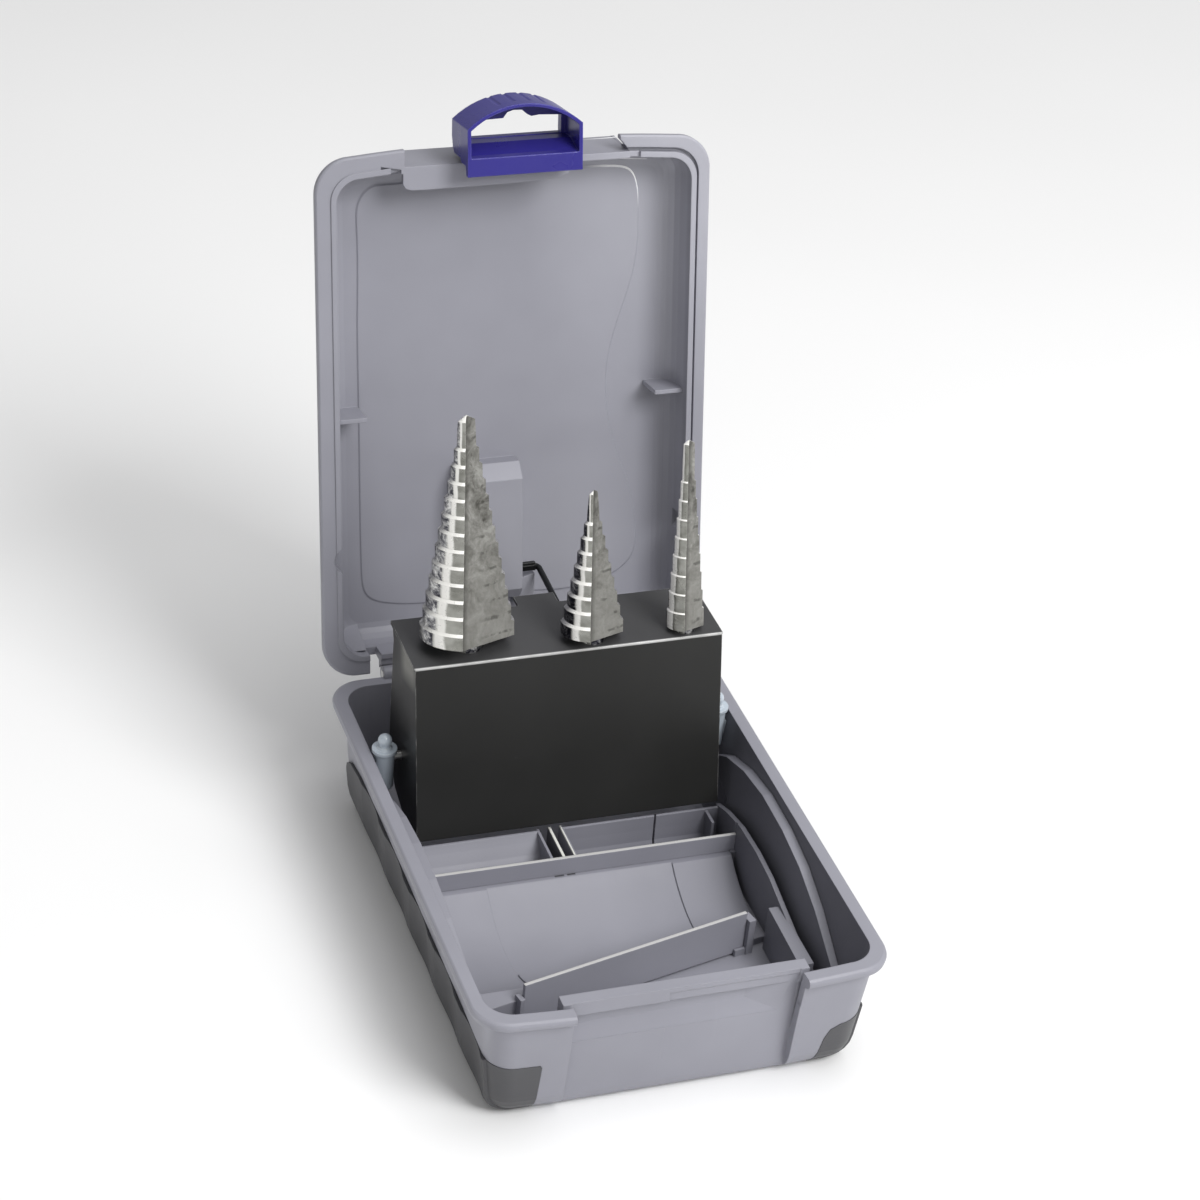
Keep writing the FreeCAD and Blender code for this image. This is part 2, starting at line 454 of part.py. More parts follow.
# ------------------------------------------------------------------ inner shank plate
pw, pd = g("shank_plate_wide"), g("shank_plate_deep")
plate = prim("Part::Box", "shank_plate_blank", {"Length": "Dims.shank_plate_wide", "Width": "Dims.shank_plate_deep", "Height": "Dims.shank_plate_thick"},
             RACK_PL.multiply(Placement(V3(-pw / 2, -g("shank_plate_front"), g("shank_plate_up")), Rotation())))
holes = []
for key in DRILLS:
    holes.append(prim("Part::Cylinder", key + "_plate_hole", {"Radius": "Dims.%s_bore" % key, "Height": "Dims.shank_plate_thick + 4"},
                      RACK_PL.multiply(Placement(V3(g(key + "_x"), -g(key + "_off"), g("shank_plate_up") - 2), Rotation()))))
hf = doc.addObject("Part::MultiFuse", "shank_plate_holes")
hf.Shapes = holes
sp = doc.addObject("Part::Cut", "shank_plate")
sp.Base, sp.Tool = plate, hf
sp.Label = "shank_plate"
NODES.append(sp)

# ------------------------------------------------------------------ step drills
for key, d in DRILLS.items():
    x = g(key + "_x")
    foot = g(key + "_foot")
    yd = -g(key + "_off")
    parts = []
    n = d["steps"]
    parts.append(prim("Part::Cylinder", key + "_shank", {"Radius": "Dims.%s_shank_rad" % key, "Height": "Dims.%s_shank_long + 0.5" % key},
                      RACK_PL.multiply(Placement(V3(x, yd, foot - g(key + "_shank_long")), Rotation()))))
    for i in range(n):
        # i = 0 is the widest step at the foot, i = n-1 the pilot
        k = n - 1 - i
        z = foot + i * d["pitch"]
        rad = "Dims.%s_tip_rad + %d * Dims.%s_step_rise" % (key, k, key)
        if k > 0:
            land = "Dims.%s_pitch - Dims.%s_step_rise * 0.8" % (key, key)
            parts.append(prim("Part::Cylinder", "%s_step_%d" % (key, i), {"Radius": rad, "Height": land},
                              RACK_PL.multiply(Placement(V3(x, yd, z), Rotation()))))
            zc = z + d["pitch"] - d["dr"] * 0.8
            parts.append(prim("Part::Cone", "%s_edge_%d" % (key, i),
                              {"Radius1": rad, "Radius2": "Dims.%s_tip_rad + %d * Dims.%s_step_rise" % (key, k - 1, key),
                               "Height": "Dims.%s_step_rise * 0.8" % key},
                              RACK_PL.multiply(Placement(V3(x, yd, zc), Rotation()))))
        else:
            parts.append(prim("Part::Cylinder", "%s_pilot_body" % key,
                              {"Radius": "Dims.%s_tip_rad" % key, "Height": "Dims.%s_pilot - Dims.%s_tip_rad * 0.55" % (key, key)},
                              RACK_PL.multiply(Placement(V3(x, yd, z), Rotation()))))
            zc = z + d["pilot"] - d["r0"] * 0.55
            parts.append(prim("Part::Cone", "%s_point" % key,
                              {"Radius1": "Dims.%s_tip_rad" % key, "Radius2": "0.12", "Height": "Dims.%s_tip_rad * 0.55" % key},
                              RACK_PL.multiply(Placement(V3(x, yd, zc), Rotation()))))
    fu = doc.addObject("Part::MultiFuse", key + "_blank")
    fu.Shapes = parts
    fu.Refine = True
    cuts = []
    r_foot = d["r0"] + (n - 1) * d["dr"]
    tilt = math.degrees(math.atan(0.7071 * d["dr"] / d["pitch"]))
    for j in (0, 1):
        # straight side of the flute lies in the plane through the drill's axis at the cutting edge
        edge = Placement(V3(x, yd, foot - 0.8), Rotation(V3(0, 0, 1), -112.0 + 180.0 * j))
        side_box = prim("Part::Box", "%s_flute_side_%d" % (key, j), {"Length": "40", "Width": "30", "Height": "120"},
                        RACK_PL.multiply(edge).multiply(Placement(V3(-10.0, 0, 0), Rotation())))
        # ground flat across the flute, leaning in with the taper of the drill
        face = Placement(V3(x, yd, foot), Rotation(V3(0, 0, 1), -67.0 + 180.0 * j))
        lean = Placement(V3(0.7071 * r_foot - d["cut"], 0, 0), Rotation(V3(0, 1, 0), -tilt))
        flat_box = prim("Part::Box", "%s_flute_flat_%d" % (key, j), {"Length": "30", "Width": "60", "Height": "130"},
                        RACK_PL.multiply(face).multiply(lean).multiply(Placement(V3(0, -30.0, -3.0), Rotation())))
        both = doc.addObject("Part::MultiCommon", "%s_flute_%d" % (key, j))
        both.Shapes = [side_box, flat_box]
        cuts.append(both)
    fc = doc.addObject("Part::MultiFuse", key + "_flutes")
    fc.Shapes = cuts
    dr = doc.addObject("Part::Cut", "step_drill_" + key)
    dr.Base, dr.Tool = fu, fc
    dr.Label = "step_drill_" + key
    NODES.append(dr)

# ------------------------------------------------------------------ lifting link: rod with two legs turned inwards
C = V3(LX, HINGE.y - LU, HINGE.z + LW)
Cw = LID.multVec(C)
D = RACK_PL.multVec(V3(LX, LW, LU))
run = (D - Cw)
rl = run.Length
dirv = V3(run.x / rl, run.y / rl, run.z / rl)
br = 2.0
kk = br * (1 - math.sqrt(0.5))
far0 = V3(-4.0, Cw.y, Cw.z)
far1 = V3(LX - br, Cw.y, Cw.z)
far2 = V3(LX, Cw.y, Cw.z) + dirv * br
farm = V3(LX - kk, Cw.y, Cw.z) + dirv * kk
near2 = V3(LX, D.y, D.z) - dirv * br
nearm = V3(LX - kk, D.y, D.z) - dirv * kk
near1 = V3(LX - br, D.y, D.z)
near0 = V3(0.4, D.y, D.z)
path = Part.Wire([Part.makeLine(far0, far1), Part.Arc(far1, farm, far2).toShape(), Part.makeLine(far2, near2),
                  Part.Arc(near2, nearm, near1).toShape(), Part.makeLine(near1, near0)])
prof = Part.Wire([Part.makeCircle(LR, far0, V3(1, 0, 0))])
link = path.makePipeShell([prof], True, False)
flat = Part.makeBox(4.9, 1.7, 2.8, V3(LX - 5.9, -0.85, -1.4))
flat.Placement = Placement(V3(0, Cw.y, Cw.z), Rotation(V3(1, 0, 0), -LEAN))
link = link.fuse(flat)
feature("lift_link", link)

# ------------------------------------------------------------------ rack bearings and pins
for side, s in (("left", -1), ("right", 1)):
    bx = s * g("bearing_out")
    zb = g("bearing_low")
    bz = zb + g("bearing_long")
    parts = [prim("Part::Cylinder", "bearing_body_" + side, {"Radius": "Dims.bearing_rad", "Height": "Dims.bearing_long"}, Placement(V3(bx, RACK.y, zb), Rotation())),
             prim("Part::Cylinder", "bearing_collar_" + side, {"Radius": "Dims.bearing_collar_rad", "Height": "Dims.bearing_collar_high"}, Placement(V3(bx, RACK.y, bz), Rotation())),
             prim("Part::Cylinder", "bearing_neck_" + side, {"Radius": "Dims.bearing_neck_rad", "Height": "Dims.bearing_neck_high + 0.6"}, Placement(V3(bx, RACK.y, bz + g("bearing_collar_high")), Rotation())),
             prim("Part::Sphere", "bearing_knob_" + side, {"Radius": "Dims.bearing_knob_rad"}, Placement(V3(bx, RACK.y, bz + g("bearing_collar_high") + 2.9), Rotation()))]
    parts.append(prim("Part::Cone", "bearing_cap_" + side, {"Radius1": "Dims.bearing_rad", "Radius2": "Dims.bearing_rad - 1.2", "Height": "2.2"},
                      Placement(V3(bx, RACK.y, bz - 0.2), Rotation())))
    parts[0].setExpression("Height", "Dims.bearing_long - 0.2")
    fu = doc.addObject("Part::MultiFuse", "bearing_blank_" + side)
    fu.Shapes = parts
    # foot web back to the case wall, and the case's inside that the post stands clear of
    tool = doc.addObject("Part::Feature", "bearing_web_" + side)
    wx0, wx1 = sorted((bx, s * 61.5))
    tool.Shape = cube(wx0, wx1, RACK.y - 1.6, RACK.y + 1.6, zb, zb + 9.0)
    fu1 = doc.addObject("Part::MultiFuse", "bearing_joined_" + side)
    fu1.Shapes = [fu, tool]
    room = doc.addObject("Part::Feature", "bearing_room_" + side)
    room.Shape = stack([(20.0, g("cavity_low") - (g("cavity_low") - g("cavity_top")) * (20.0 - 5.8) / (H - 5.8) + 0.02), (H, g("cavity_top") + 0.02), (H + 12, g("cavity_top") + 0.02)], F, BOW)
    fu2 = doc.addObject("Part::Common", "bearing_whole_" + side)
    fu2.Base, fu2.Tool = fu1, room
    hole = cyl_x("bearing_hole_" + side, "Dims.pivot_pin_rad", "Dims.pivot_pin_long + 4", min(s * 50.0, s * 62.2), RACK.y, RACK.z)
    bc = doc.addObject("Part::Cut", "pivot_bearing_" + side)
    bc.Base, bc.Tool = fu2, hole
    bc.Label = "pivot_bearing_" + side
    NODES.append(bc)
    x0 = 50.1 if s > 0 else -50.1 - g("pivot_pin_long")
    pp = cyl_x("pivot_pin_" + side, "Dims.pivot_pin_rad", "Dims.pivot_pin_long", x0, RACK.y, RACK.z)
    pp.Label = "pivot_pin_" + side
    NODES.append(pp)

# ------------------------------------------------------------------ compartment tray
inner = stack([(g("floor_thick"), g("cavity_low") + 3.3), (g("floor_thick") + 1.4, g("cavity_low") + 1.15),
               (g("floor_thick") + 3.4, g("cavity_low") + 0.15), (H, g("cavity_top") + 0.15)], F, BOW)
inner = inner.cut(cube(-RH - 2.6, RH + 2.6, -95, -g("recess_inner") + 0.15, -1, 50))
fz = g("floor_thick")
ft = g("tray_floor_thick")
DY = g("divider_rear_y")
dt = g("divider_thick")
dfoot = g("divider_foot")
tray = cube(-70, 70, -90, 27.4, fz, fz + ft)
# rear compartments: floor curving up into the rear wall, a slit and a short return
crest = [(24.9, 18.9), (25.5, 19.2), (25.9, 18.9), (25.9, fz)]
tray = tray.fuse(prism_x([(9.0, fz), (9.0, 4.9), (12.0, 5.7), (15.0, 7.3), (18.0, 9.8), (21.0, 13.2), (23.4, 16.6)] + crest, -55.8, -3.0))
tray = tray.fuse(prism_x([(17.0, fz), (17.0, 4.7), (21.0, 5.2), (23.2, 6.8), (24.3, 9.6), (24.7, 14.0)] + crest, -3.2, 53.6))
tray = tray.cut(cube(29.7, 30.4, 20.0, 27.0, 5.4, 30))
tray = tray.fuse(cube(47.6, 48.6, 18.5, 25.2, fz, 18.2))
# twin fins behind the rear divider
for x in (-10.6, -6.5, -2.6):
    tray = tray.fuse(cube(x, x + 0.9, DY + 1.0, 26.8, fz, 19.0))
tray = tray.cut(cube(-9.7, -6.5, DY + 1.2, 26.6, 4.4, 30)).cut(cube(-5.6, -2.6, DY + 1.2, 26.6, 4.4, 30))
# scooped floor of the middle compartment
scoop = cube(-55.5, 50.6, -50.0, DY - dt / 2 - 0.12, fz + 0.5, 13.6)
scoop = scoop.cut(Part.makeCylinder(38.0, 130, V3(-65, -17.5, 43.2), V3(1, 0, 0)))
scoop = scoop.cut(Part.makeCylinder(38.5, 63, V3(-33, -17.5, 43.2), V3(1, 0, 0)))
dg = math.radians(g("divider_diag_turn"))
dc = V3(1.8, -38.2, 0)


def diag(u, v):
    return (dc.x + u * math.cos(dg) - v * math.sin(dg), dc.y + u * math.sin(dg) + v * math.cos(dg))


scoop = scoop.cut(prism_z([diag(-80, 0.75), diag(80, 0.75), diag(80, -60), diag(-80, -60)], 0, 30))
tray = tray.fuse(scoop)
# fine raised line along the left end of the scoop
line = Part.makeCylinder(39.2, 0.55, V3(-32.9, -17.5, 43.2), V3(1, 0, 0)).cut(Part.makeCylinder(37.6, 0.55, V3(-32.9, -17.5, 43.2), V3(1, 0, 0)))
tray = tray.fuse(line.common(prism_z([diag(-60, 0.9), diag(60, 0.9), (40, -28), (-60, -28)], 0, 12)))
# side walls: low inner wall and tall arched outer strip on each side
inner_top = [(27.4, 18.6), (18.0, 22.2), (6.0, 25.0), (-8.0, 25.6), (-20.0, 24.6), (-30.0, 22.2), (-42.0, 19.4), (-60.0, 16.2), (-78.0, 13.2)]
outer_top = [(42.0, 27.4), (34.0, 32.4), (20.0, 36.8), (4.0, 38.9), (-14.0, 38.4), (-30.0, 36.0), (-46.0, 31.0), (-63.0, 23.2), (-80.0, 13.0)]
tray = tray.fuse(prism_x([(27.4, fz)] + inner_top + [(-78.0, fz)], 52.2, 53.8))
tray = tray.fuse(prism_x([(27.4, fz)] + inner_top + [(-78.0, fz)], -55.8, -54.4))
for s in (-1, 1):
    x0, x1 = sorted((s * 53.0, s * 70.0))
    strip = prism_x([(27.4, fz), (27.4, 20.0), (42.0, 24.0)] + outer_top + [(-80.0, fz)], x0, x1)
    strip = strip.cut(stack([(-5.0, 16.0), (fz + 1.0, g("cavity_low") + 3.4), (fz + 5.0, g("cavity_low") + 1.5), (H + 1, g("cavity_top") + 3.7)], F, BOW))
    tray = tray.fuse(strip)
# closed corner block at the right front, and the posts that hold the diagonal divider
tray = tray.fuse(prism_z([(48.8, -29.6), (53.0, -29.6), (53.0, -58.0), (48.2, -58.0)], fz, 20.6))
tray = tray.fuse(prism_z([diag(40.9, -2.2), diag(43.4, -2.2), diag(43.4, 2.2), diag(40.9, 2.2)], fz, 17.4))
tray = tray.fuse(prism_z([diag(-40.9, -1.8), diag(-42.6, -1.8), diag(-42.6, 1.8), diag(-40.9, 1.8)], fz, 15.4))
for sgn in (-1, 1):
    a, b = (37.0, 41.5) if sgn > 0 else (-41.5, -37.0)
    tray = tray.fuse(prism_z([diag(a, 0.75), diag(b, 0.75), diag(b, 1.8), diag(a, 1.8)], fz, 12.0))
    tray = tray.fuse(prism_z([diag(a, -0.75), diag(b, -0.75), diag(b, -1.8), diag(a, -1.8)], fz, 6.6))
tray = tray.cut(prism_z([diag(-40.85, 0.7), diag(40.85, 0.7), diag(40.85, -0.7), diag(-40.85, -0.7)], dfoot - 0.05, 40))
# slots that hold the rear divider
for a, b in ((-55.8, -50.9), (50.6, 53.6)):
    tray = tray.fuse(cube(a, b, DY - 2.0, DY + 2.0, fz, 14.0))
tray = tray.cut(cube(-52.55, 52.55, DY - 0.7, DY + 0.7, dfoot - 0.05, 40))
tray = tray.fuse(cube(-RH, RH, -77.7, -76.5, fz, 14.0))
tray = tray.common(inner)
feature("compartment_tray", tray)

# ------------------------------------------------------------------ dividers
body_r = prim("Part::Box", "divider_rear", {"Length": "Dims.divider_rear_long", "Width": "Dims.divider_thick", "Height": "Dims.divider_top - Dims.divider_foot"},
              Placement(V3(-g("divider_rear_long") / 2, DY - dt / 2, dfoot), Rotation()))
body_r.Label = "divider_rear"
NODES.append(body_r)
dl = g("divider_diag_long")
px, py = diag(-dl / 2, -dt / 2)
body_d = prim("Part::Box", "divider_diagonal", {"Length": "Dims.divider_diag_long", "Width": "Dims.divider_thick", "Height": "Dims.divider_top - Dims.divider_foot"},
              Placement(V3(px, py, dfoot), Rotation(V3(0, 0, 1), g("divider_diag_turn"))))
body_d.Label = "divider_diagonal"
NODES.append(body_d)

doc.recompute()
for o in doc.Objects:
    if "Invalid" in o.State or "Error" in o.State:
        raise RuntimeError("%s: %s" % (o.Name, o.State))
for o in NODES:
    s = o.Shape
    if s.isNull() or not s.isValid():
        raise RuntimeError("bad shape: " + o.Label)
os.makedirs("parts", exist_ok=True)
for o in NODES:
    o.Shape.exportStep("parts/%s.step" % o.Label)
    print("%-22s solids %d  volume %9.1f  faces %d" % (o.Label, len(o.Shape.Solids), o.Shape.Volume, len(o.Shape.Faces)))
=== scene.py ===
import json
import math

import bmesh
import bpy
from mathutils import Matrix, Vector

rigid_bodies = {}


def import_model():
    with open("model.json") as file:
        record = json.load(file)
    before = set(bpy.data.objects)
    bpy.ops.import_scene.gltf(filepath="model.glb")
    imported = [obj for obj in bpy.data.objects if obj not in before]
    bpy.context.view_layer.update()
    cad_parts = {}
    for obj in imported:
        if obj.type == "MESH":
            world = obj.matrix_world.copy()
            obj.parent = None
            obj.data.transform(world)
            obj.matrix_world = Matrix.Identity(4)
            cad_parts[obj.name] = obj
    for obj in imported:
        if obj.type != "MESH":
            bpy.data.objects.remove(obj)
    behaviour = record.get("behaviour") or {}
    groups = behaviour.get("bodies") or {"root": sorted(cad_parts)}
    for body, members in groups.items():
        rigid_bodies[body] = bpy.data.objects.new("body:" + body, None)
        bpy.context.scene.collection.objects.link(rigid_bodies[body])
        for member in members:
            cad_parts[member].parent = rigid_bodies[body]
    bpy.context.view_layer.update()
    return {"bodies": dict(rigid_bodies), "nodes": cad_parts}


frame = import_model()
BODIES = frame["bodies"]
NODES = frame["nodes"]


LEAN = math.radians(13.2)
CL, SL = math.cos(LEAN), math.sin(LEAN)


# ------------------------------------------------------------------ node helpers
class Mat:
    def __init__(self, name):
        self.m = bpy.data.materials.new(name)
        self.m.use_nodes = True
        self.nt = self.m.node_tree
        self.nt.nodes.clear()
        self.out = self.n("ShaderNodeOutputMaterial")
        self.b = self.n("ShaderNodeBsdfPrincipled")
        self.link(self.b.outputs[0], self.out.inputs["Surface"])
        tc = self.n("ShaderNodeTexCoord")
        self.co = tc.outputs["Object"]
        self.face = tc.outputs["Normal"]

    def n(self, kind, **props):
        x = self.nt.nodes.new(kind)
        for k, v in props.items():
            setattr(x, k, v)
        return x

    def link(self, a, b):
        self.nt.links.new(a, b)

    def put(self, sock, val):
        if hasattr(val, "is_linked") or hasattr(val, "links"):
            self.link(val, sock)
        else:
            sock.default_value = val

    def mapping(self, scale=(1, 1, 1), rot=(0, 0, 0), loc=(0, 0, 0), co=None):
        m = self.n("ShaderNodeMapping")
        self.link(co or self.co, m.inputs["Vector"])
        m.inputs["Scale"].default_value = scale
        m.inputs["Rotation"].default_value = rot
        m.inputs["Location"].default_value = loc
        return m.outputs[0]

    def noise(self, scale, detail=3.0, rough=0.55, vec=None, dist=0.0):
        x = self.n("ShaderNodeTexNoise")
        self.link(vec or self.co, x.inputs["Vector"])
        x.inputs["Scale"].default_value = scale
        x.inputs["Detail"].default_value = detail
        x.inputs["Roughness"].default_value = rough
        x.inputs["Distortion"].default_value = dist
        return x.outputs[0]

    def vor(self, scale, vec=None, feature="F1", rnd=1.0):
        x = self.n("ShaderNodeTexVoronoi", feature=feature)
        self.link(vec or self.co, x.inputs["Vector"])
        x.inputs["Scale"].default_value = scale
        x.inputs["Randomness"].default_value = rnd
        return x.outputs[0]

    def rng(self, val, a, b, c, d, clamp=True):
        x = self.n("ShaderNodeMapRange", clamp=clamp)
        self.put(x.inputs["Value"], val)
        for k, v in zip(("From Min", "From Max", "To Min", "To Max"), (a, b, c, d)):
            x.inputs[k].default_value = v
        return x.outputs[0]

    def math(self, op, a, b=0.0, clamp=False):
        x = self.n("ShaderNodeMath", operation=op, use_clamp=clamp)
        self.put(x.inputs[0], a)
        if len(x.inputs) > 1:
            self.put(x.inputs[1], b)
        return x.outputs[0]

    def mix(self, fac, a, b, mode="MIX"):
        x = self.n("ShaderNodeMix", data_type="RGBA", blend_type=mode)
        self.put(x.inputs["Factor"], fac)
        ia, ib = [i for i in x.inputs if i.name in ("A", "B") and i.type == "RGBA"]
        self.put(ia, a)
        self.put(ib, b)
        return [o for o in x.outputs if o.type == "RGBA"][0]

    def vmath(self, op, a, b=None):
        x = self.n("ShaderNodeVectorMath", operation=op)
        self.put(x.inputs[0], a)
        if b is not None:
            self.put(x.inputs[1], b)
        return x.outputs["Value"] if op == "DOT_PRODUCT" else x.outputs[0]

    def sep(self, v=None):
        x = self.n("ShaderNodeSeparateXYZ")
        self.link(v or self.co, x.inputs[0])
        return x.outputs

    def normal(self):
        x = self.n("ShaderNodeNewGeometry")
        return x.outputs["Normal"]

    def near(self, val, at, half, soft):
        # 1 within half of at, fading out over soft
        d = self.math("ABSOLUTE", self.math("SUBTRACT", val, at))
        return self.rng(d, half, half + soft, 1.0, 0.0)

    def bevel(self, radius, samples=4):
        # rounded normal, and a mask that is 1 near sharp edges
        bv = self.n("ShaderNodeBevel", samples=samples)
        bv.inputs["Radius"].default_value = radius
        d = self.vmath("DOT_PRODUCT", self.normal(), bv.outputs[0])
        return bv.outputs[0], self.rng(d, 0.985, 0.78, 0.0, 1.0)

    def bump(self, height, strength, dist, normal=None):
        b = self.n("ShaderNodeBump")
        b.inputs["Strength"].default_value = strength
        b.inputs["Distance"].default_value = dist
        self.link(height, b.inputs["Height"])
        if normal is not None:
            self.link(normal, b.inputs["Normal"])
        return b.outputs[0]


def rgb(r, g, b):
    return (r, g, b, 1.0)


def lin(r, g, b):
    def f(c):
        c /= 255.0
        return c / 12.92 if c <= 0.04045 else ((c + 0.055) / 1.055) ** 2.4
    return (f(r), f(g), f(b), 1.0)


def scaled(col, k, add=0.0):
    return tuple(min(1.0, c * k + add) for c in col[:3]) + (1.0,)


def moulded(name, col, rough=0.46, grain=0.25, edge_highlight=0.10, soft=0.0005, wear=0.12, spec=0.45, painted_light_and_shade=None):
    m = Mat(name)
    cloud = m.noise(16.0, 3.0, 0.6)
    c1 = m.mix(m.rng(cloud, 0.35, 0.65, 0.0, 1.0), scaled(col, 0.94), scaled(col, 1.05))
    # faint rub marks, long and thin
    rub = m.noise(95.0, 4.0, 0.65, vec=m.mapping(scale=(1.0, 0.12, 0.12), rot=(0.2, 0.1, 0.5)))
    mark = m.rng(rub, 0.66, 0.78, 0.0, wear)
    c1 = m.mix(mark, c1, scaled(col, 1.35, 0.02))
    # painted light and shade, laid into the colour by the part's shading function
    if painted_light_and_shade is not None:
        c1 = painted_light_and_shade(m, c1)
    soft_n, edge = m.bevel(soft)
    # painted highlight: colour lightened along sharp edges
    if edge_highlight > 0:
        e = m.math("MULTIPLY", edge, m.rng(m.noise(160.0, 2.0), 0.3, 0.7, 0.5 * edge_highlight, edge_highlight * 1.5))
        c1 = m.mix(e, c1, scaled(col, 1.9, 0.05))
    m.link(c1, m.b.inputs["Base Color"])
    r = m.math("ADD", m.rng(m.noise(55.0, 3.0), 0.3, 0.7, rough - 0.05, rough + 0.06), m.math("MULTIPLY", mark, -0.6))
    m.link(r, m.b.inputs["Roughness"])
    m.b.inputs["Specular IOR Level"].default_value = spec
    h = m.noise(1500.0, 2.0, 0.7)
    n = m.bump(h, grain, 0.00006, soft_n)
    # slow unevenness of the moulded panels
    n = m.bump(m.noise(9.0, 1.0, 0.4), 0.25, 0.0009, n)
    m.link(n, m.b.inputs["Normal"])
    return m.m


def painted_sheet(name, col, painted_light_and_shade=None, chips=0.75):
    m = Mat(name)
    base = m.mix(m.rng(m.noise(14.0, 3.0), 0.35, 0.65, 0, 1), scaled(col, 0.88), scaled(col, 1.15))
    # painted light and shade, laid into the colour by the part's shading function
    if painted_light_and_shade is not None:
        base = painted_light_and_shade(m, base)
    soft_n, edge = m.bevel(0.0004)
    chip = m.math("MULTIPLY", edge, m.rng(m.noise(240.0, 3.0, 0.6), 0.42, 0.62, 0.10, chips))
    scr = m.rng(m.noise(120.0, 5.0, 0.7, vec=m.mapping(scale=(0.16, 1, 1), rot=(0, 0.12, 0.08))), 0.68, 0.76, 0.0, 0.08)
    wear = m.math("MAXIMUM", chip, scr)
    if painted_light_and_shade is not None:
        p = m.sep()
        # bright line along the bend above the front plate, partly wear and partly a painted highlight
        w = m.math("SUBTRACT", m.math("MULTIPLY", m.math("SUBTRACT", p[1], 0.0475), CL), m.math("MULTIPLY", m.math("SUBTRACT", p[2], 0.040), SL))
        u = m.math("ADD", m.math("MULTIPLY", m.math("SUBTRACT", p[1], 0.0475), SL), m.math("MULTIPLY", m.math("SUBTRACT", p[2], 0.040), CL))
        bend_wear_and_highlight = m.math("MULTIPLY", m.rng(w, -0.0178, -0.0174, 1.0, 0.0), m.rng(u, 0.0361, 0.0364, 0.0, 1.0))
        bend_wear_and_highlight = m.math("MULTIPLY", bend_wear_and_highlight, m.rng(m.noise(60.0, 3.0, 0.6, vec=m.mapping(scale=(1, 0.01, 0.01))), 0.3, 0.6, 0.55, 1.0))
        low = m.rng(u, -0.0215, -0.0200, 0.0, 1.0)
        wear = m.math("MAXIMUM", m.math("MULTIPLY", wear, low), bend_wear_and_highlight)
    c = m.mix(wear, base, rgb(0.60, 0.60, 0.59))
    m.link(c, m.b.inputs["Base Color"])
    m.link(m.math("MULTIPLY", wear, 0.35), m.b.inputs["Metallic"])
    m.link(m.rng(m.noise(40.0, 3.0), 0.3, 0.7, 0.36, 0.48), m.b.inputs["Roughness"])
    m.b.inputs["Specular IOR Level"].default_value = 0.35
    n = m.bump(m.noise(900.0, 2.0), 0.14, 0.00005, soft_n)
    m.link(n, m.b.inputs["Normal"])
    return m.m


def steel(name, col, rough=0.3):
    m = Mat(name)
    c = m.mix(m.rng(m.noise(60.0, 3.0), 0.3, 0.7, 0.0, 1.0), scaled(col, 0.8), scaled(col, 1.1))
    m.link(c, m.b.inputs["Base Color"])
    m.b.inputs["Metallic"].default_value = 1.0
    m.link(m.rng(m.noise(500.0, 3.0), 0.3, 0.7, rough - 0.06, rough + 0.08), m.b.inputs["Roughness"])
    soft_n, edge = m.bevel(0.0002)
    m.link(m.bump(m.noise(1200.0, 2.0), 0.1, 0.00003, soft_n), m.b.inputs["Normal"])
    return m.m


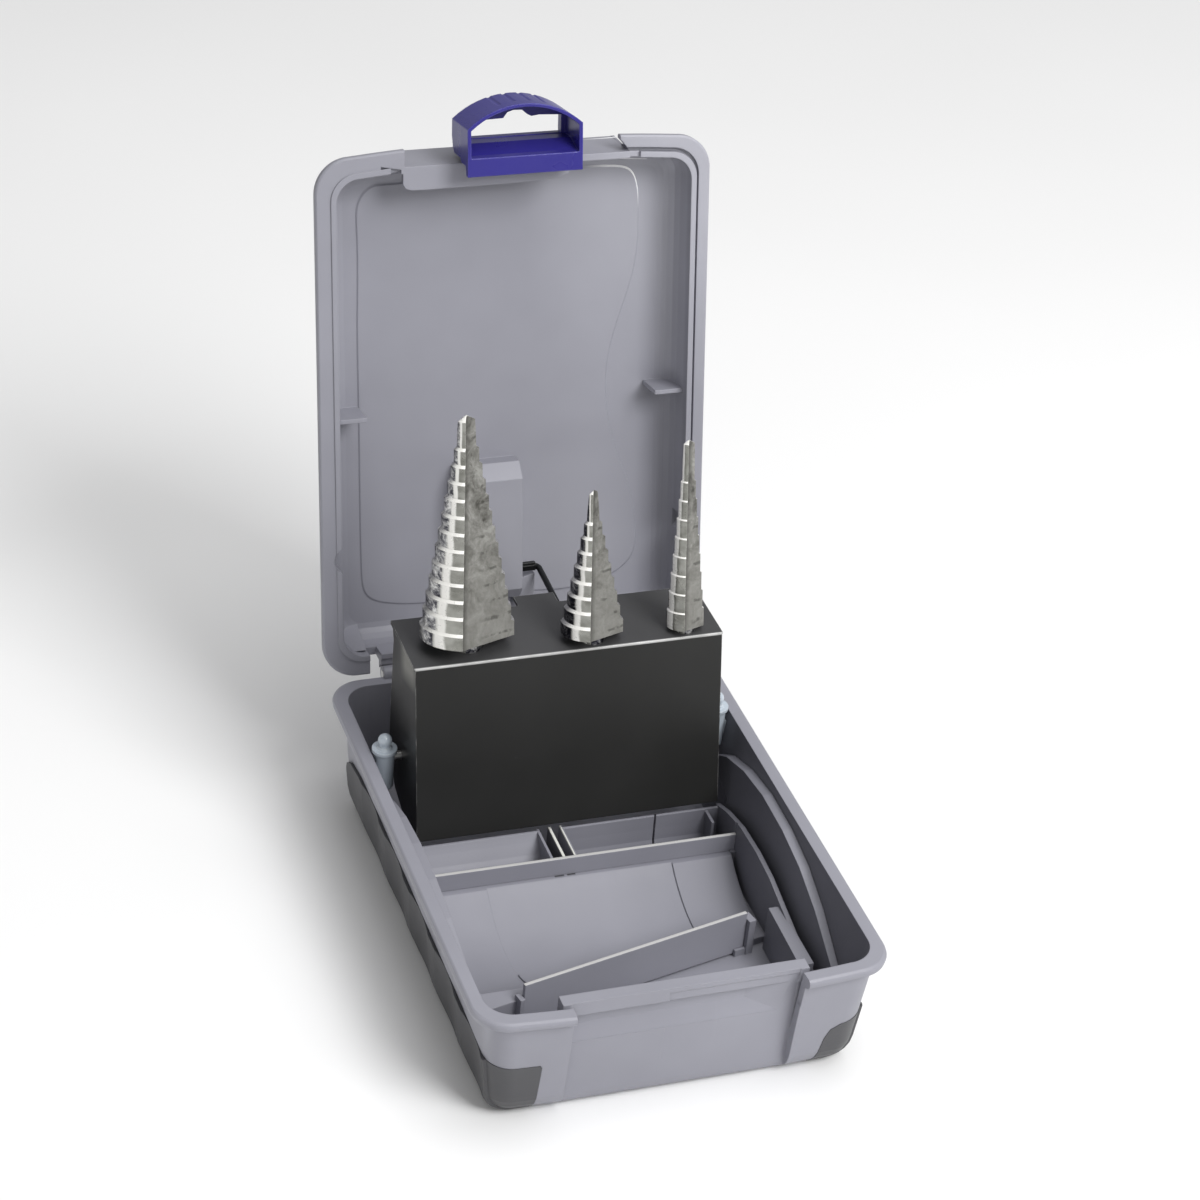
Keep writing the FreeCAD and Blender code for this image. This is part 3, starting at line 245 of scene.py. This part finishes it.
def ground_steel(name, x, off, foot, slope, band0, band1, edge_deg, pitch, dark=0.0):
    """Step drill: relieved steps, cutting edge at edge_deg round the drill's own axis."""
    m = Mat(name)
    y0 = 0.0475 - off * CL + foot * SL
    z0 = 0.040 + off * SL + foot * CL
    q = m.vmath("SUBTRACT", m.co, (x, y0, z0))
    px = m.vmath("DOT_PRODUCT", q, (1, 0, 0))
    pw = m.vmath("DOT_PRODUCT", q, (0, CL, -SL))
    pu = m.vmath("DOT_PRODUCT", q, (0, SL, CL))
    comb = m.n("ShaderNodeCombineXYZ")
    for i, v in enumerate((px, pw, pu)):
        m.link(v, comb.inputs[i])
    loc = comb.outputs[0]
    ang = m.math("ARCTAN2", pw, px)
    # angle behind the cutting edge, 0 to 180 degrees
    a = m.math("DEGREES", m.math("FLOORED_MODULO", m.math("SUBTRACT", math.radians(edge_deg), ang), math.pi))
    nrm = m.face
    nu = m.vmath("DOT_PRODUCT", nrm, (0, SL, CL))
    e = math.radians(edge_deg)
    f = e + math.pi / 4
    t = math.atan(0.7071 * slope)
    masks = []
    for sgn in (1, -1):
        nx, nw, nz = sgn * math.cos(f) * math.cos(t), sgn * math.sin(f) * math.cos(t), math.sin(t)
        d = m.vmath("DOT_PRODUCT", nrm, (nx, nw * CL + nz * SL, -nw * SL + nz * CL))
        masks.append(m.math("GREATER_THAN", d, 0.9985))
    flute = m.math("MAXIMUM", masks[0], masks[1])
    shoulder = m.rng(nu, 0.35, 0.55, 0.0, 1.0)
    # mottled back of the steps: painted dark reflections
    squash = m.mapping(scale=(1, 1, 1.5), co=loc)
    blot = m.noise(170.0, 4.0, 0.62, vec=squash, dist=1.8)
    fine = m.noise(700.0, 3.0, 0.6, vec=squash, dist=0.8)
    mott = m.math("ADD", m.math("MULTIPLY", blot, 0.7), m.math("MULTIPLY", fine, 0.3))
    r = m.n("ShaderNodeValToRGB")
    m.link(mott, r.inputs[0])
    el = r.color_ramp.elements
    el[0].position, el[0].color = 0.40 + dark, (0.018, 0.018, 0.026, 1)
    el[1].position, el[1].color = 0.62 + dark, (0.72, 0.72, 0.71, 1)
    k = el.new(0.465 + dark)
    k.color = (0.10, 0.10, 0.115, 1)
    k = el.new(0.54 + dark)
    k.color = (0.33, 0.33, 0.33, 1)
    back = r.outputs[0]
    # ground land next to the cutting edge
    land = m.mix(m.rng(m.noise(150.0, 2.0, 0.5, vec=squash), 0.35, 0.65, 0, 1), rgb(0.24, 0.24, 0.215), rgb(0.40, 0.40, 0.37))
    wob = m.math("MULTIPLY", m.math("SUBTRACT", m.noise(120.0, 2.0, 0.5, vec=m.mapping(scale=(0.2, 0.2, 1), co=loc)), 0.5), 16.0)
    aw = m.math("ADD", a, wob)
    c = m.mix(m.rng(aw, band1 - 1.0, band1 + 5.0, 0.0, 1.0), land, back)
    # painted highlight: glare band on the land behind the cutting edge
    land_glare = m.math("MULTIPLY", m.rng(aw, band0 - 3.0, band0 + 1.0, 0.0, 1.0), m.rng(aw, band1 - 1.0, band1 + 5.0, 1.0, 0.0))
    # step shoulders catch the light near the edge
    rung = m.math("MULTIPLY", shoulder, m.rng(a, band1 + 4.0, band1 + 30.0, 1.0, 0.35))
    outer = m.math("SUBTRACT", 1.0, flute)
    bright = m.math("MULTIPLY", m.math("MAXIMUM", land_glare, rung), outer)
    # the flat inside the flute: smooth near the foot, mottled above
    fl = m.math("ADD", m.math("MULTIPLY", m.noise(160.0, 4.0, 0.65, vec=loc, dist=0.9), 0.8), m.math("MULTIPLY", m.noise(900.0, 2.0, 0.6, vec=loc), 0.2))
    amp = m.rng(pu, 0.006, 0.045, 0.30, 1.0)
    flm = m.math("ADD", 0.5, m.math("MULTIPLY", m.math("SUBTRACT", fl, 0.5), amp))
    fcol = m.mix(m.rng(flm, 0.36, 0.62, 0.0, 1.0), rgb(0.125, 0.122, 0.108), rgb(0.42, 0.415, 0.39))
    # ghost of the steps mirrored in the flat, stronger away from the edge
    ph = m.math("FRACT", m.math("ADD", m.math("DIVIDE", pu, pitch), m.math("MULTIPLY", m.math("SUBTRACT", m.noise(90.0, 2.0, 0.5, vec=loc), 0.5), 0.8)))
    dash = m.math("MULTIPLY", m.rng(m.math("ABSOLUTE", m.math("SUBTRACT", ph, 0.5)), 0.05, 0.12, 1.0, 0.0), m.rng(m.noise(260.0, 3.0, 0.6, vec=loc), 0.50, 0.60, 0.0, 1.0))
    dash = m.math("MULTIPLY", dash, m.rng(a, 122.0, 150.0, 1.0, 0.15))
    side = m.math("ABSOLUTE", m.math("SUBTRACT", m.math("MULTIPLY", pw, math.cos(e)), m.math("MULTIPLY", px, math.sin(e))))
    fcol = m.mix(m.rng(side, 0.0002, 0.0014, 0.55, 0.0), fcol, rgb(0.05, 0.049, 0.042))
    fcol = m.mix(m.math("MULTIPLY", dash, 0.55), fcol, rgb(0.035, 0.033, 0.028))
    c = m.mix(flute, c, fcol)
    soft_n, edge = m.bevel(0.00022)
    # painted highlight: glare band and lit step shoulders drawn near white
    c = m.mix(bright, c, rgb(0.93, 0.92, 0.88))
    # painted highlight along sharp edges
    c = m.mix(m.math("MULTIPLY", edge, 0.35), c, rgb(0.90, 0.89, 0.86))
    m.link(c, m.b.inputs["Base Color"])
    m.link(m.math("SUBTRACT", 0.85, m.math("MULTIPLY", bright, 0.65)), m.b.inputs["Metallic"])
    rr = m.math("ADD", m.rng(fine, 0.3, 0.7, 0.24, 0.40), m.math("MULTIPLY", flute, 0.14))
    m.link(rr, m.b.inputs["Roughness"])
    streak = m.noise(800.0, 3.0, 0.6, vec=m.mapping(scale=(0.2, 0.2, 1.6), co=loc))
    n = m.bump(streak, 0.16, 0.00004, soft_n)
    n = m.bump(blot, 0.35, 0.0004, n)
    m.link(n, m.b.inputs["Normal"])
    return m.m


def inner_shade(m, c, amount):
    # inner faces of the right side, turned to the left, keep a darker tone
    p = m.sep()
    nx = m.sep(m.face)[0]
    f = m.math("MULTIPLY", m.rng(nx, -0.55, -0.90, 0.0, 1.0), m.rng(p[0], 0.040, 0.046, 0.0, 1.0))
    return m.mix(m.math("MULTIPLY", f, amount), c, rgb(0.085, 0.085, 0.105))


def base_painted_light_and_shade(m, c):
    # painted light: outer faces on the left side a little lighter; inner_shade adds the painted shade inside
    nx = m.sep(m.face)[0]
    x = m.sep()[0]
    f = m.math("MULTIPLY", m.rng(nx, -0.60, -0.90, 0.0, 0.32), m.rng(x, -0.058, -0.061, 0.0, 1.0))
    c = m.mix(f, c, rgb(0.50, 0.50, 0.55))
    return inner_shade(m, c, 0.72)


def tray_painted_shade(m, c):
    p = m.sep()
    x, y, z = p[0], p[1], p[2]
    # painted shade: right end of the scoop a little darker
    far = m.math("MULTIPLY", m.rng(x, 0.006, 0.050, 0.05, 0.56), m.rng(y, -0.030, 0.005, 0.2, 1.0))
    c = m.mix(far, c, rgb(0.12, 0.12, 0.145))
    c = inner_shade(m, c, 0.62)
    # painted shadow: deep narrow slits between the twin fins drawn near black
    s1 = m.near(x, -0.0081, 0.0015, 0.0002)
    s2 = m.near(x, -0.0041, 0.0013, 0.0002)
    slit_shadow = m.math("MULTIPLY", m.math("MAXIMUM", s1, s2), m.rng(y, 0.0075, 0.0082, 0.0, 1.0))
    slit_shadow = m.math("MULTIPLY", slit_shadow, m.rng(z, 0.0186, 0.0188, 1.0, 0.0))
    c = m.mix(m.math("MULTIPLY", slit_shadow, 0.88), c, rgb(0.012, 0.012, 0.012))
    blades = m.math("MAXIMUM", m.near(x, -0.00605, 0.00040, 0.0001), m.near(x, -0.00250, 0.00035, 0.0001))
    blades = m.math("MULTIPLY", blades, m.rng(y, 0.0076, 0.0080, 0.0, 1.0))
    blades = m.math("MULTIPLY", blades, m.rng(z, 0.0182, 0.0186, 0.0, 1.0))
    return m.mix(m.math("MULTIPLY", blades, 0.85), c, rgb(0.80, 0.80, 0.74))


def lid_painted_light_and_shade(m, c):
    p = m.sep()
    # painted light: soft lighter field on the raised pad, seen in lid coordinates
    dy = m.math("SUBTRACT", p[1], 0.089)
    dz = m.math("SUBTRACT", p[2], 0.042)
    u = m.math("ADD", m.math("MULTIPLY", dy, SL), m.math("MULTIPLY", dz, CL))
    w = m.math("SUBTRACT", m.math("MULTIPLY", dy, CL), m.math("MULTIPLY", dz, SL))
    nw = m.vmath("DOT_PRODUCT", m.face, (0, CL, -SL))
    nu = m.vmath("DOT_PRODUCT", m.face, (0, SL, CL))
    nx = m.sep(m.face)[0]
    inside = m.rng(nw, -0.2, -0.6, 0.0, 1.0)
    f = m.math("MULTIPLY", m.rng(u, 0.085, 0.150, 0.0, 0.42), m.rng(p[0], 0.008, 0.050, 0.0, 1.0))
    low = m.math("MULTIPLY", m.rng(u, 0.070, 0.030, 0.0, 0.45), m.near(p[0], 0.008, 0.016, 0.026))
    c = m.mix(m.math("MULTIPLY", inside, m.math("MAXIMUM", f, low)), c, rgb(0.50, 0.50, 0.55))
    # painted shade: inner face of the top wall darker
    top = m.math("MULTIPLY", m.rng(nu, -0.5, -0.9, 0.0, 0.50), m.rng(u, 0.140, 0.150, 0.0, 1.0))
    c = m.mix(top, c, rgb(0.060, 0.060, 0.070))
    # the right wall catches a little more light
    right = m.math("MULTIPLY", m.rng(nx, -0.4, -0.8, 0.0, 0.30), m.math("MULTIPLY", m.rng(p[0], 0.040, 0.050, 0.0, 1.0), m.rng(w, 0.0010, 0.0030, 0.0, 1.0)))
    c = m.mix(right, c, rgb(0.50, 0.50, 0.55))
    # painted highlight along the upper right bend of the field's edge
    edge = m.math("MULTIPLY", m.rng(u, 0.1480, 0.1550, 0.0, 1.0), m.rng(p[0], 0.026, 0.036, 0.0, 1.0))
    edge = m.math("MULTIPLY", edge, m.rng(p[0], 0.0490, 0.0495, 1.0, 0.0))
    edge = m.math("MULTIPLY", edge, m.near(w, 0.01438, 0.00026, 0.00006))
    edge = m.math("MULTIPLY", edge, m.math("MULTIPLY", m.rng(nw, -0.98, -0.93, 0.0, 1.0), m.rng(nw, 0.10, 0.25, 1.0, 0.0)))
    return m.mix(edge, c, rgb(1.0, 1.0, 1.0))


def divider_painted_highlight(m, c):
    p = m.sep()
    nz = m.sep(m.face)[2]
    # painted highlight: upward faces along the divider's top drawn lighter
    top = m.math("MULTIPLY", m.rng(p[2], 0.0190, 0.0194, 0.0, 1.0), m.rng(nz, 0.6, 0.9, 0.0, 1.0))
    return m.mix(m.math("MULTIPLY", top, 0.5), c, rgb(0.72, 0.71, 0.66))


def rack_painted_light_and_shade(m, c):
    nz = m.sep(m.face)[2]
    # painted light: upward faces drawn lighter
    c = m.mix(m.rng(nz, 0.5, 0.9, 0.0, 0.6), c, rgb(0.080, 0.080, 0.083))
    nx = m.sep(m.face)[0]
    p = m.sep()
    w = m.math("SUBTRACT", m.math("MULTIPLY", m.math("SUBTRACT", p[1], 0.0475), CL), m.math("MULTIPLY", m.math("SUBTRACT", p[2], 0.040), SL))
    u = m.math("ADD", m.math("MULTIPLY", m.math("SUBTRACT", p[1], 0.0475), SL), m.math("MULTIPLY", m.math("SUBTRACT", p[2], 0.040), CL))
    # painted sheen near the top of the side cheeks
    cheek_sheen = m.math("MULTIPLY", m.near(u, 0.0360, 0.0025, 0.0060), m.near(w, -0.0105, 0.0040, 0.0060))
    cheek_sheen = m.math("MULTIPLY", cheek_sheen, m.math("GREATER_THAN", m.math("ABSOLUTE", nx), 0.9))
    # painted shade: faces turned to the left drawn near black
    c = m.mix(m.rng(nx, -0.8, -0.95, 0.0, 0.68), c, rgb(0.004, 0.004, 0.004))
    return m.mix(m.math("MULTIPLY", cheek_sheen, 0.75), c, rgb(0.24, 0.24, 0.215))


CASE_RGB = lin(143, 143, 152)
CASE = moulded("case_plastic", CASE_RGB, wear=0.08, painted_light_and_shade=base_painted_light_and_shade)
LID = moulded("lid_plastic", CASE_RGB, wear=0.08, painted_light_and_shade=lid_painted_light_and_shade)
TRAY = moulded("tray_plastic", scaled(CASE_RGB, 0.95), rough=0.5, painted_light_and_shade=tray_painted_shade, wear=0.08)
SHEET = moulded("divider_plastic", scaled(CASE_RGB, 1.03), rough=0.42, painted_light_and_shade=divider_painted_highlight, wear=0.06)
GRIP = moulded("grip_rubber", lin(70, 70, 73), rough=0.46, grain=0.5, edge_highlight=0.12, wear=0.08, spec=0.6)
LATCH = moulded("latch_plastic", lin(48, 43, 128), rough=0.28, grain=0.08, edge_highlight=0.7, wear=0.04, soft=0.0006)
POST = moulded("post_plastic", lin(186, 196, 206), rough=0.12, grain=0.03, edge_highlight=0.3, wear=0.03, spec=0.9)
RACK = painted_sheet("rack_paint", lin(37, 37, 36), painted_light_and_shade=rack_painted_light_and_shade)
ROD = painted_sheet("rod_paint", lin(13, 14, 16), chips=0.2)
DRILL_L = ground_steel("drill_steel_large", -0.0316, 0.00806, 0.0427, 1.0 / 5.24, 24.0, 36.0, -112.0, 0.00524)
DRILL_M = ground_steel("drill_steel_medium", 0.0088, 0.01245, 0.0405, 1.0 / 4.7, 22.0, 34.0, -112.0, 0.0047, 0.06)
DRILL_S = ground_steel("drill_steel_small", 0.0402, 0.0136, 0.0392, 0.5 / 6.2, 40.0, 70.0, -112.0, 0.0062)
PIN = steel("pin_steel", rgb(0.55, 0.55, 0.54), rough=0.3)

LOOK = {
    "base_shell": (CASE, "case"), "lid_shell": (LID, "case"), "compartment_tray": (TRAY, "case"),
    "divider_rear": (SHEET, "case"), "divider_diagonal": (SHEET, "case"),
    "grip_left": (GRIP, "grip"), "grip_right": (GRIP, "grip"),
    "drill_rack": (RACK, "rack"), "shank_plate": (RACK, "rack"),
    "latch_handle": (LATCH, "latch"), "latch_pin": (PIN, "pin"),
    "hinge_pin_left": (PIN, "pin"), "hinge_pin_right": (PIN, "pin"),
    "pivot_pin_left": (PIN, "pin"), "pivot_pin_right": (PIN, "pin"),
    "pivot_bearing_left": (POST, "post"), "pivot_bearing_right": (POST, "post"),
    "lift_link": (ROD, "rod"),
    "step_drill_large": (DRILL_L, "drill"), "step_drill_medium": (DRILL_M, "drill"), "step_drill_small": (DRILL_S, "drill"),
}
for node, (material, slot) in LOOK.items():
    o = NODES[node]
    o.data.materials.clear()
    o.data.materials.append(material)

# ------------------------------------------------------------------ floor
bm = bmesh.new()
N = 24
R = 7.0
rings = []
for i in range(N + 1):
    t = i / N
    r = R * t * t
    if i == 0:
        rings.append([bm.verts.new((0, 0, -0.0004))])
        continue
    rings.append([bm.verts.new((r * math.cos(a * math.pi / 32), r * math.sin(a * math.pi / 32), -0.0004)) for a in range(64)])
for a in range(64):
    bm.faces.new((rings[0][0], rings[1][a], rings[1][(a + 1) % 64]))
for i in range(1, N):
    for a in range(64):
        b = (a + 1) % 64
        bm.faces.new((rings[i][a], rings[i + 1][a], rings[i + 1][b], rings[i][b]))
me = bpy.data.meshes.new("floor")
bm.to_mesh(me)
bm.free()
floor = bpy.data.objects.new("floor", me)
bpy.context.scene.collection.objects.link(floor)
fm = Mat("floor_paint")
fm.link(fm.mix(fm.rng(fm.noise(3.0, 2.0), 0.3, 0.7, 0, 1), rgb(0.86, 0.86, 0.86), rgb(0.89, 0.89, 0.89)), fm.b.inputs["Base Color"])
fm.b.inputs["Roughness"].default_value = 0.85
fm.b.inputs["Specular IOR Level"].default_value = 0.2
me.materials.append(fm.m)

# ------------------------------------------------------------------ light
sc = bpy.context.scene
world = bpy.data.worlds.new("studio")
world.use_nodes = True
bg = world.node_tree.nodes["Background"]
bg.inputs[0].default_value = (1.0, 1.0, 1.0, 1.0)
bg.inputs[1].default_value = 0.36
sc.world = world


def area(name, loc, aim, size, power, size_y=None):
    li = bpy.data.lights.new(name, "AREA")
    li.energy = power
    li.size = size
    if size_y:
        li.shape = "RECTANGLE"
        li.size_y = size_y
    o = bpy.data.objects.new(name, li)
    o.location = loc
    d = Vector(aim) - Vector(loc)
    o.rotation_euler = d.to_track_quat("-Z", "Y").to_euler()
    sc.collection.objects.link(o)
    return o


area("key", (0.62, -1.0, 1.30), (0, 0, 0.08), 0.80, 22.5)
area("fill", (-0.5, -1.3, 0.5), (0, 0, 0.1), 1.0, 1.4)
area("top", (0.30, 0.1, 1.6), (0, 0, 0.05), 1.2, 11.0)

# ------------------------------------------------------------------ camera
az, el, roll = math.radians(22.08), math.radians(33.76), math.radians(6.1)
back = Vector((-math.sin(az) * math.cos(el), -math.cos(az) * math.cos(el), math.sin(el)))
right = (-back).cross(Vector((0, 0, 1))).normalized()
up = right.cross(-back).normalized()
r2 = math.cos(roll) * right + math.sin(roll) * up
u2 = -math.sin(roll) * right + math.cos(roll) * up
cam = bpy.data.cameras.new("camera")
cam.lens = 99.04
cam.sensor_width = 36.0
cam.clip_start = 0.05
cam.clip_end = 50.0
co = bpy.data.objects.new("camera", cam)
rot = Matrix((r2, u2, back)).transposed().to_4x4()
co.matrix_world = Matrix.Translation(Vector((-0.0076, 0.0, 0.1262)) + back * 0.9915) @ rot
sc.collection.objects.link(co)
sc.camera = co
sc.view_settings.view_transform = "Standard"
